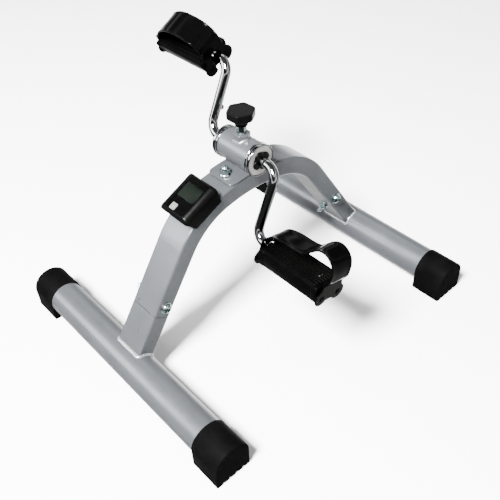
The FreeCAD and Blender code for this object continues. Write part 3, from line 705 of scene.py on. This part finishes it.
def cap_ring(side, y):
    """Low round moulding on the flat end of a cap."""
    f = axis_frame((side * (BASE_LENGTH / 2 - 0.55), y, BASE_Z), (side, 0, 0))
    profile = []
    for k in range(24):
        a = FULL_TURN * k / 24
        profile.append((16.9 + 0.55 * math.cos(a), 0.45 * math.sin(a)))
    sections = []
    for j in range(97):
        a = FULL_TURN * j / 96
        sections.append([f @ Vector((r * math.cos(a), r * math.sin(a), h)) for r, h in profile])
    return loft(sections, ends=False)


for end, y in (("front", -BASE_SPACING / 2), ("rear", BASE_SPACING / 2)):
    for name, side in (("left", -1), ("right", 1)):
        x = side * (BASE_LENGTH / 2 - CAP_LENGTH / 2)
        turn = Matrix(((0, 0, side, x), (side, 0, 0, y), (0, 1, 0, BASE_Z), (0, 0, 0, 1)))
        cap = slab(end + "_" + name + "_cap", [cap_outline()], CAP_LENGTH, 1.3, turn, RUBBER)
        attach(cap, "frame", "cap_rubber", end + "_" + name + "_end_cap")
        moulding = make(end + "_" + name + "_cap_ring", *cap_ring(side, y), RUBBER)
        attach(moulding, "frame", "cap_rubber")


# ------------------------------------------------------------------ tension knob and its screw

def knob():
    """Hexagon with round corners over a tapering underside and a neck."""
    apothem, corner, soft = 15.8, 17.8, 0.45

    def shape(a, radius, height, share):
        t = (a + math.pi / 6) % (math.pi / 3) - math.pi / 6
        flat = apothem / math.cos(t)
        gap = flat - corner
        edge = (flat + corner) / 2 - math.sqrt(gap * gap / 4 + soft * soft / 4) + 0.12
        return radius + (edge - radius) * share, height
    profile = [(6.4, 287.5), (7.4, 287.6), (7.9, 288.0), (8.0, 288.8), (8.0, 290.6), (8.3, 291.8),
               (9.2, 293.2, 0.05), (10.8, 294.8, 0.15), (12.9, 296.4, 0.4), (14.6, 297.6, 0.7),
               (15.6, 298.6, 0.93), (16.2, 299.4, 1.0), (16.4, 300.2, 1.0), (16.4, 305.3, 1.0),
               (16.2, 306.2, 0.97), (15.6, 306.9, 0.93), (14.6, 307.5, 0.86), (13.2, 307.8, 0.74),
               (11.8, 307.9, 0.55), (9.0, 307.95, 0.2), (4.0, 308.0), (0.02, 308.0)]
    return turned(axis_frame((0, 0, 0), (0, 0, 1), math.radians(34)), profile, 192, shape)


verts, faces = knob()
attach(make("knob_grip", verts, faces, KNOB, angle=50), "tension_knob", "knob_plastic", "tension_knob")
verts, faces = join([
    hex_nut((0, 0, 278.2), (0, 0, 1), 10.6, 9.2, turn=0.3),
    thread((0, 0, 279.0), (0, 0, -1), 3.9, 13.6, 1.25)])
attach(make("knob_screw", verts, faces, ZINC, angle=26), "tension_knob", "zinc", "tension_screw")


# ------------------------------------------------------------------ pedals and straps

PEDALS = {
    "right": (1, HUB + ARM * CRANK_R, math.radians(-12.0)),
    "left": (-1, HUB - ARM * CRANK_R, math.radians(30.0)),
}
# Middle line of each strap: distance from the hub's middle and height above the spindle.
STRAPS = {
    "right": [(85.6, 9), (87.0, 14.5), (90, 19), (99, 26), (115, 29.5), (134, 30), (148, 32), (157, 40),
              (166, 47), (176, 48.5), (186, 43), (191, 32), (190, 18), (186.2, 11), (184.3, 8)],
    "left": [(84.7, 9), (84.3, 15), (84, 22), (89, 33), (101, 39.5), (120, 42), (137, 40), (153, 33.5),
             (167, 24), (176, 14), (181.6, 8.5)],
}


def placed(matrix, parts):
    verts, faces = join(parts)
    return [matrix @ Vector(v) for v in verts], faces


def pedal_matrix(which):
    side, spindle, tilt = PEDALS[which]
    flip = Matrix.Diagonal((side, 1, 1, 1))
    return Matrix.Translation(Vector((0, spindle.y, spindle.z))) @ Matrix.Rotation(tilt, 4, "X") @ flip


def bar(x0, x1, centre, half_w, height, up, across, round_end):
    """Rounded rib from x0 to x1 standing on centre, with up as its height direction."""
    sections = []
    for x, k in ((x0, 0.0), (x0 + 0.25 * round_end, 0.55), (x0 + round_end, 1.0), (x1 - round_end, 1.0),
                 (x1 - 0.25 * round_end, 0.55), (x1, 0.0)):
        ring = []
        for u, v in ((-1, -0.6), (1, -0.6), (1, 0.55), (0.8, 0.86),
                     (0.4, 1.0), (-0.4, 1.0), (-0.8, 0.86), (-1, 0.55)):
            lift = height * (v if v < 0 else v * k)
            ring.append(Vector((x, 0, 0)) + centre + across * u * half_w + up * lift)
        sections.append(ring)
    return loft(sections)


def plate_matrix(which, x, z, lean=0.0):
    """Local X is the pedal's toe direction, local Y its height, local Z outwards."""
    up = Vector((lean, 0, math.sqrt(1 - lean * lean)))
    out = Vector((0, 1, 0)).cross(up)
    m = Matrix.Identity(4)
    m.col[0] = (0, 1, 0, 0)
    m.col[1] = (*up, 0)
    m.col[2] = (*out, 0)
    m.col[3] = (x, 0, z, 1)
    return pedal_matrix(which) @ m


def outward(obj):
    """Faces point out again after a mirrored placement."""
    mesh = obj.data
    work = bmesh.new()
    work.from_mesh(mesh)
    bmesh.ops.recalc_face_normals(work, faces=work.faces)
    work.to_mesh(mesh)
    work.free()
    return obj


# Cross-section of a pedal: toe direction and height from the spindle.
UNDERSIDE = [(-19.5, -13.9), (-19, -14.5), (-17.5, -14.5), (-17.5, 1.5), (-17, 2), (-9, 2), (-8.5, 1.5),
             (-8.5, -14.5), (8.5, -14.5), (8.5, 1.5), (9, 2), (17, 2), (17.5, 1.5), (17.5, -14.5),
             (19, -14.5), (19.5, -13.9)]
DECK_EDGE = [(23, 3.2), (22.7, 5.3), (20.8, 7), (-20.8, 7), (-22.7, 5.3), (-23, 3.2)]


def comb_outline():
    """Deck on three walls, a little narrower than the blocks at its ends."""
    return [(y * DECK_SHARE, z) for y, z in UNDERSIDE + DECK_EDGE]


def block_outline():
    """The deck's outside with the underside filled in."""
    return UNDERSIDE[:2] + UNDERSIDE[-2:] + DECK_EDGE


def lobed_outline(top, notched):
    """Strap end: it widens into two round lobes, with a notch for the spindle at the inner end."""
    middle = [(-5, -15.0), (0, -14.2), (5, -15.0)]
    lobe_end = 300
    if notched:
        middle = circle(0, 0, 7.6, 20, math.radians(180), math.radians(0))
        lobe_end = 306
    points = [(-STRAP_HALF, top), (-STRAP_HALF, 5.0), (-17.2, 2.0)]
    points += circle(-PEG_Y, PEG_Z, 10.0, 26, math.radians(120), math.radians(lobe_end))
    points += middle
    points += circle(PEG_Y, PEG_Z, 10.0, 26, math.radians(180 - lobe_end), math.radians(60))
    points += [(17.2, 2.0), (STRAP_HALF, 5.0), (STRAP_HALF, top)]
    return points


def square_outline(cy, cz, half):
    return [(cy - half, cz - half), (cy - half, cz + half), (cy + half, cz + half), (cy + half, cz - half)]


def spline_points(profile, count):
    """Smooth curve through the strap's profile points, evenly walked."""
    pts = [Vector((x, 0, z)) for x, z in profile]
    pts = [pts[0] * 2 - pts[1]] + pts + [pts[-1] * 2 - pts[-2]]
    fine = []
    for i in range(1, len(pts) - 2):
        a, b, c, d = pts[i - 1:i + 3]
        for k in range(24):
            t = k / 24
            fine.append(0.5 * ((2 * b) + (c - a) * t + (2 * a - 5 * b + 4 * c - d) * t * t
                               + (3 * b - a - 3 * c + d) * t ** 3))
    fine.append(pts[-2])
    for _ in range(14):
        inner = [(fine[i - 1] + fine[i] * 2 + fine[i + 1]) / 4 for i in range(1, len(fine) - 1)]
        fine = [fine[0]] + inner + [fine[-1]]
    lengths = [0.0]
    for i in range(1, len(fine)):
        lengths.append(lengths[-1] + (fine[i] - fine[i - 1]).length)
    out, j = [], 0
    for k in range(count):
        want = lengths[-1] * k / (count - 1)
        while j < len(fine) - 2 and lengths[j + 1] < want:
            j += 1
        t = (want - lengths[j]) / max(lengths[j + 1] - lengths[j], 1e-9)
        out.append(fine[j].lerp(fine[j + 1], min(t, 1.0)))
    return out


def strap_band(profile):
    """Flexible band with a raised bead along each long edge."""
    line = spline_points(profile, 110)
    across = [(-STRAP_HALF, 0.35), (-16.3, 0.8), (-15.8, 1.1), (-15.1, 1.12), (-14.6, 0.85), (-14.2, 0.72),
              (-8, 0.76), (0, 0.8), (8, 0.76), (14.2, 0.72), (14.6, 0.85), (15.1, 1.12), (15.8, 1.1),
              (16.3, 0.8), (STRAP_HALF, 0.35)]
    sections = []
    for i, p in enumerate(line):
        t = (line[min(i + 1, len(line) - 1)] - line[max(i - 1, 0)]).normalized()
        n = Vector((-t.z, 0, t.x))
        ring = [p + Vector((0, y, 0)) + n * h for y, h in across]
        ring += [p + Vector((0, y, 0)) - n * h for y, h in reversed(across)]
        sections.append(ring)
    return loft(sections)


STRAP_ENDS = {
    "right": (("inner", 85.0, 0.03), ("outer", 183.4, 0.08)),
    "left": (("inner", 85.0, -0.02), ("outer", 182.5, -0.08)),
}


def pedal_ribs():
    """Long grip ribs on the deck and cross webs in the open underside."""
    up, toe_dir = Vector((0, 0, 1)), Vector((0, 1, 0))
    ribs = []
    for k in range(9):
        y = -19.0 + 38.0 * k / 8
        ribs.append(bar(PEDAL_IN + 3.5, PEDAL_OUT - 3.5, Vector((0, y, 6.9)), 1.15, 1.65, up, toe_dir, 1.4))
    low, high, half_web = -13.4, 2.4, 0.8
    for x in (104.0, 119.0, 134.0, 149.0, 164.0):
        for y0, y1 in ((-17.9, -8.2), (8.2, 17.9)):
            corners = [(x - half_web, y0), (x + half_web, y0), (x + half_web, y1), (x - half_web, y1)]
            ribs.append(loft([[Vector((*c, z)) for c in corners] for z in (low, high)]))
    return ribs


for which in ("right", "left"):
    m = pedal_matrix(which)
    body = which + "_pedal"
    mid = (PEDAL_IN + PEDAL_OUT) / 2
    deck = outward(slab(which + "_pedal_deck", [comb_outline()], 90.0, 0.8,
                        plate_matrix(which, mid, 0), PEDAL))
    attach(deck, body, "pedal_plastic", body + "_body")
    for label, x in (("inner", PEDAL_IN + PEDAL_WALL / 2), ("outer", PEDAL_OUT - PEDAL_WALL / 2)):
        wall = outward(slab(f"{which}_pedal_{label}_wall", [block_outline()], PEDAL_WALL, 1.0,
                            plate_matrix(which, x, 0), PEDAL))
        attach(wall, body, "pedal_plastic")
    verts, faces = placed(m, pedal_ribs())
    attach(outward(make(which + "_pedal_ribs", verts, faces, PEDAL, angle=50)), body, "pedal_plastic")
    for label, x in (("inner", PEDAL_IN - 2.1), ("outer", PEDAL_OUT + 2.1)):
        for tag, y in (("heel", -PEG_Y), ("toe", PEG_Y)):
            peg = outward(slab(f"{which}_{label}_{tag}_peg", [square_outline(y, PEG_Z, PEG_HALF)], 5.0, 0.55,
                               plate_matrix(which, x, 0), PEDAL))
            attach(peg, body, "pedal_plastic")
    verts, faces = placed(m, [strap_band(STRAPS[which])])
    band = outward(make(which + "_strap_band", verts, faces, STRAP, angle=60))
    attach(band, body, "strap_plastic", which + "_pedal_strap")
    for label, x, lean in STRAP_ENDS[which]:
        holes = [square_outline(y, PEG_Z, PEG_HALF + 0.25) for y in (-PEG_Y, PEG_Y)]
        outlines = [lobed_outline(12.0, label == "inner")] + holes
        plate = outward(slab(f"{which}_strap_{label}_end", outlines, 2.0, 0.55,
                             plate_matrix(which, x, 0, lean), STRAP))
        attach(plate, body, "strap_plastic")


# ------------------------------------------------------------------ cycle computer

DISPLAY = Matrix.Translation(Vector((0, -88.5, 230.7))) @ Matrix.Rotation(math.radians(25.0), 4, "X")


def rounded_rect(x0, x1, y0, y1, r, n=8):
    points = []
    for cx, cy, a0 in ((x1 - r, y1 - r, 0), (x0 + r, y1 - r, 90),
                       (x0 + r, y0 + r, 180), (x1 - r, y0 + r, 270)):
        points += circle(cx, cy, r, n, math.radians(a0), math.radians(a0 + 90))
    return points


def display_case():
    """Moulded case: rounded rectangles stacked along the display's depth."""
    # height above the face, half width, lower edge, upper edge, corner radius
    levels = [(-24, 25.0, -22.0, 24.0, 2.0), (-12, 25.0, -26.9, 26.0, 2.4), (-7.5, 25.0, -29.0, 26.6, 2.8),
              (-6.3, 24.9, -29.3, 26.75, 3.0), (-5.0, 24.5, -28.8, 26.8, 3.2), (-3.4, 23.5, -27.9, 26.6, 3.4),
              (-2.0, 22.0, -27.1, 26.1, 3.4), (-1.1, 20.6, -26.5, 25.4, 3.2), (-0.45, 19.1, -26.0, 24.7, 3.0),
              (-0.1, 17.9, -25.6, 24.2, 2.6), (0.0, 17.3, -25.2, 23.8, 2.4),
              (-0.15, 17.05, -25.0, 23.55, 2.2), (-1.05, 17.0, -24.95, 23.5, 2.2)]
    sections = []
    for n, w, lo, hi, r in levels:
        sections.append([DISPLAY @ Vector((x, s, n)) for x, s in rounded_rect(-w, w, lo, hi, r)])
    return loft(sections)


def on_face(n):
    return DISPLAY @ Matrix.Translation(Vector((0, 0, n)))


verts, faces = display_case()
attach(make("display_case", verts, faces, CASE, angle=40), "frame", "display_plastic",
       "display_housing", "display_base")
window_hole = rounded_rect(-16.0, 16.0, -6.5, 16.5, 1.6)
button_hole = rounded_rect(KEY_X - 5.7, KEY_X + 5.7, KEY_S - 5.4, KEY_S + 5.4, 1.2)
face_plate = slab("display_face", [rounded_rect(-16.95, 16.95, -24.9, 23.45, 2.1), window_hole, button_hole],
                  1.1, 0.3, on_face(-0.55), BEZEL)
attach(face_plate, "frame", "display_plastic")


def display_brow():
    """Thin raised arc above the window, tapering at both ends."""
    half, steps = 15.0, 40
    arc, radii = [], []
    for k in range(steps + 1):
        x = half * (2 * k / steps - 1)
        rise = 3.6 * math.cos(x / half * math.pi / 2) ** 0.8
        arc.append(DISPLAY @ Vector((x, 17.4 + rise, 0.0)))
        radii.append(0.55 * min(1.0, 0.2 + min(k, steps - k) / 6.0))
    return sweep(arc, radii, 14)


attach(make("display_brow", *display_brow(), BEZEL), "frame", "display_plastic")
panel = slab("display_panel", [rounded_rect(-14.5, 14.5, -5.0, 15.0, 0.5)], 0.3, 0.05, on_face(-0.92), LCD)
attach(panel, "frame", "lcd_grey", "lcd_panel")
pane = slab("display_pane", [rounded_rect(-15.9, 15.9, -6.4, 16.4, 1.5)], 0.3, 0.05, on_face(-0.62), WINDOW)
attach(pane, "frame", "display_window", "display_lens")
key_outline = rounded_rect(KEY_X - KEY_HALF, KEY_X + KEY_HALF, KEY_S - KEY_HALF, KEY_S + KEY_HALF, 0.9)
key = slab("display_key", [key_outline], 3.6, 0.5, on_face(-1.2), CREAM)
attach(key, "display_button", "button_cream", "display_button")


# ------------------------------------------------------------------ floor, light and camera

FLOOR = surface("floor_white", [(0.3, (0.86, 0.86, 0.86)), (0.7, (0.88, 0.88, 0.88))],
                0.0, (0.75, 0.85), 300.0, 0.01, patch=2.0)


def floor(half, height):
    """Plain pale floor, in metres, that does not show in reflections."""
    mesh = bpy.data.meshes.new("floor")
    corners = [(-half, -half, 0), (half, -half, 0), (half, half, 0), (-half, half, 0)]
    mesh.from_pydata(corners, [], [(0, 1, 2, 3)])
    mesh.materials.append(FLOOR)
    obj = bpy.data.objects.new("floor", mesh)
    bpy.context.scene.collection.objects.link(obj)
    obj.location = (0, 0, height)
    obj.visible_glossy = False


floor(7, -0.0002)


def light(name, size, energy, location, target):
    """Square soft box aimed at the target."""
    lamp = bpy.data.lights.new(name, "AREA")
    lamp.shape = "RECTANGLE"
    lamp.size = size
    lamp.size_y = size
    lamp.energy = energy
    obj = bpy.data.objects.new(name, lamp)
    bpy.context.scene.collection.objects.link(obj)
    obj.location = location
    obj.rotation_mode = "QUATERNION"
    obj.rotation_quaternion = (Vector(target) - Vector(location)).to_track_quat("-Z", "Y")


light("key", 0.55, 820.0, (0.35, -1.35, 2.0), (0, 0, 0.15))
light("fill", 1.6, 10.0, (1.9, 0.1, 1.2), (0, 0, 0.15))
light("left", 0.9, 50.0, (-1.15, -1.5, 0.95), (0, 0, 0.12))
light("back", 1.2, 11.0, (-1.2, 1.0, 1.6), (0, 0, 0.15))

world = bpy.data.worlds.new("studio")
bpy.context.scene.world = world
world.use_nodes = True


def studio(tree):
    """White room for matt surfaces; a darker room with soft boxes for reflections."""
    where = tree.nodes.new("ShaderNodeTexCoord")
    split = tree.nodes.new("ShaderNodeSeparateXYZ")
    tree.links.new(where.outputs["Generated"], split.inputs["Vector"])
    shade = ramp(tree, split.outputs["Z"], [(0.0, (0.92, 0.92, 0.92)), (0.4, (1.0, 1.0, 1.0))])
    room = tree.nodes["Background"]
    tree.links.new(shade.outputs["Color"], room.inputs["Color"])
    room.inputs["Strength"].default_value = 0.38
    turn = tree.nodes.new("ShaderNodeMath")
    turn.operation = "ARCTAN2"
    tree.links.new(split.outputs["Y"], turn.inputs[0])
    tree.links.new(split.outputs["X"], turn.inputs[1])
    share = tree.nodes.new("ShaderNodeMapRange")
    share.inputs["From Min"].default_value = -math.pi
    share.inputs["From Max"].default_value = math.pi
    tree.links.new(turn.outputs["Value"], share.inputs["Value"])
    low = ramp(tree, share.outputs["Result"], [
        (0.0, (0.22, 0.22, 0.22)), (0.06, (0.22, 0.22, 0.22)), (0.12, (0.012, 0.012, 0.012)),
        (0.17, (0.015, 0.015, 0.015)), (0.21, (0.032, 0.032, 0.031)), (0.31, (0.026, 0.026, 0.025)),
        (0.38, (0.003, 0.003, 0.003)), (0.49, (0.001, 0.001, 0.001)), (0.525, (0.06, 0.06, 0.06)),
        (0.57, (0.24, 0.24, 0.24)), (0.66, (0.24, 0.237, 0.23)), (0.72, (0.12, 0.12, 0.115)),
        (0.755, (0.12, 0.12, 0.12)), (0.79, (0.9, 0.9, 0.9)), (0.84, (0.9, 0.9, 0.9)),
        (0.90, (0.22, 0.22, 0.22))])
    high = ramp(tree, split.outputs["Z"], [
        (0.0, (0.012, 0.012, 0.012)), (0.20, (0.01, 0.01, 0.01)), (0.26, (0.34, 0.34, 0.345)),
        (0.32, (0.34, 0.34, 0.345)), (0.37, (0.008, 0.008, 0.010)), (0.60, (0.012, 0.012, 0.012)),
        (0.65, (0.34, 0.34, 0.345)), (0.71, (0.32, 0.32, 0.325)), (0.76, (0.015, 0.015, 0.017)),
        (1.0, (0.03, 0.03, 0.03))])
    side = tree.nodes.new("ShaderNodeMapRange")
    side.inputs["From Min"].default_value = -0.12
    side.inputs["From Max"].default_value = 0.02
    tree.links.new(split.outputs["Z"], side.inputs["Value"])
    both = tree.nodes.new("ShaderNodeMix")
    both.data_type = "RGBA"
    tree.links.new(side.outputs["Result"], both.inputs["Factor"])
    tree.links.new(low.outputs["Color"], both.inputs["A"])
    tree.links.new(high.outputs["Color"], both.inputs["B"])
    mirror = tree.nodes.new("ShaderNodeBackground")
    mirror.inputs["Strength"].default_value = 7.0
    tree.links.new(both.outputs["Result"], mirror.inputs["Color"])
    path = tree.nodes.new("ShaderNodeLightPath")
    mix = tree.nodes.new("ShaderNodeMixShader")
    tree.links.new(path.outputs["Is Glossy Ray"], mix.inputs["Fac"])
    tree.links.new(room.outputs["Background"], mix.inputs[1])
    tree.links.new(mirror.outputs["Background"], mix.inputs[2])
    tree.links.new(mix.outputs["Shader"], tree.nodes["World Output"].inputs["Surface"])


studio(world.node_tree)


def main_camera():
    azimuth, elevation, roll = math.radians(49.005), math.radians(42.239), -0.0422
    back = Vector((math.sin(azimuth) * math.cos(elevation), -math.cos(azimuth) * math.cos(elevation),
                   math.sin(elevation)))
    right = Vector((0, 0, 1)).cross(back).normalized()
    up = back.cross(right)
    right, up = right * math.cos(roll) + up * math.sin(roll), up * math.cos(roll) - right * math.sin(roll)
    data = bpy.data.cameras.new("camera")
    data.sensor_width = 36.0
    data.lens = 47.39
    data.clip_start, data.clip_end = 0.05, 50.0
    camera = bpy.data.objects.new("camera", data)
    bpy.context.scene.collection.objects.link(camera)
    m = Matrix.Identity(4)
    m.col[0] = (*right, 0)
    m.col[1] = (*up, 0)
    m.col[2] = (*back, 0)
    m.col[3] = (0.51052, -0.43840, 0.69880, 1)
    camera.matrix_world = m
    bpy.context.scene.camera = camera


main_camera()
